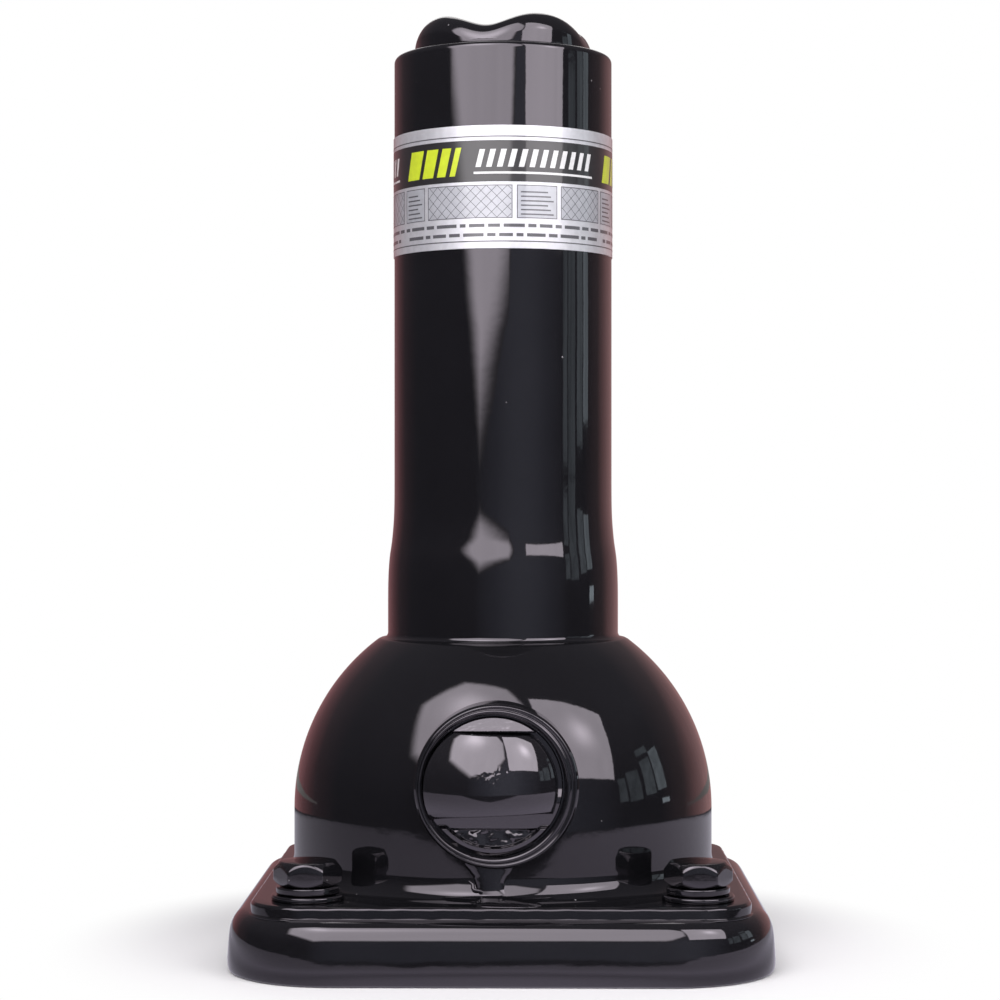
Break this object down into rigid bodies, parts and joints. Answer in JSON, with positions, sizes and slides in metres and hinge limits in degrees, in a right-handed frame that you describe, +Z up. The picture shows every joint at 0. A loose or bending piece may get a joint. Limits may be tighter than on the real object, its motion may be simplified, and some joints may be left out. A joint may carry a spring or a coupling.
{
  "type": "screw jack",
  "caption": "Black bottle-shaped telescopic screw jack: square bolted base, domed bevel gear housing with plugged boss, banded column, lobed saddle and rear crank eye.",
  "frame": {"origin": "middle of the foot, on the lift axis at floor level", "axes": "+Z up the lift axis, -Y towards the plugged boss, +Y towards the crank eye"},
  "size_m": [0.1208, 0.1431, 0.2148],
  "materials": {
    "black_enamel": "gloss black enamel with small dust nibs",
    "saddle_enamel": "gloss black enamel over a rough forging",
    "label_film": "satin silver-white film with printed bands",
    "painted_fasteners": "black enamel over zinc-plated fasteners",
    "screw_steel": "oiled bright steel",
    "gear_steel": "machined steel, lightly greased",
    "bearing_steel": "ground steel",
    "bronze": "turned bronze"
  },
  "bodies": {
    "housing": {"base_plate": "black_enamel", "gear_housing": "black_enamel", "column_tube": "black_enamel", "column_nut": "bronze", "label_band": "label_film", "base_bolts": "painted_fasteners", "base_nuts": "painted_fasteners", "flat_washers": "painted_fasteners", "spring_washers": "painted_fasteners", "thrust_race_lower": "bearing_steel", "centre_post": "gear_steel", "pinion_bush": "bronze", "pinion_boss": "black_enamel", "plug_boss": "black_enamel", "end_plug": "black_enamel"},
    "crown": {"crown_gear": "gear_steel", "sleeve_pins": "gear_steel", "drive_sleeve": "screw_steel", "thrust_race_upper": "bearing_steel"},
    "cage": {"bearing_cage": "bronze", "bearing_balls": "bearing_steel"},
    "pinion": {"bevel_pinion": "gear_steel", "thrust_washer": "bearing_steel", "drive_eye": "gear_steel", "eye_pin": "gear_steel"},
    "outer_screw": {"outer_screw": "screw_steel", "drive_keys": "gear_steel"},
    "inner_screw": {"inner_screw": "screw_steel", "stop_ring": "bearing_steel", "saddle": "saddle_enamel"}
  },
  "joints": [
    {"name": "crown_turn", "type": "hinge", "parent": "housing", "child": "crown", "pos_m": [0, 0, 0.0413], "axis": [0, 0, 1], "range_deg": [0, 5700]},
    {"name": "pinion_turn", "type": "hinge", "parent": "housing", "child": "pinion", "pos_m": [0, 0.0702, 0.0413], "axis": [0, 1, 0], "range_deg": [0, 16583]},
    {"name": "cage_turn", "type": "hinge", "parent": "housing", "child": "cage", "pos_m": [0, 0, 0.009], "axis": [0, 0, 1], "range_deg": [0, 2851]},
    {"name": "outer_lift", "type": "slide", "parent": "crown", "child": "outer_screw", "axis": [0, 0, 1], "range_m": [0, 0.095]},
    {"name": "inner_lift", "type": "slide", "parent": "housing", "child": "inner_screw", "axis": [0, 0, 1], "range_m": [0, 0.19]}
  ],
  "couplings": [
    {"joint": "pinion_turn", "follows": "crown_turn", "ratio": 2.9091},
    {"joint": "cage_turn", "follows": "crown_turn", "ratio": 0.5},
    {"joint": "outer_lift", "follows": "crown_turn", "m_per_rad": 0.00095493},
    {"joint": "inner_lift", "follows": "crown_turn", "m_per_rad": 0.0019099}
  ]
}
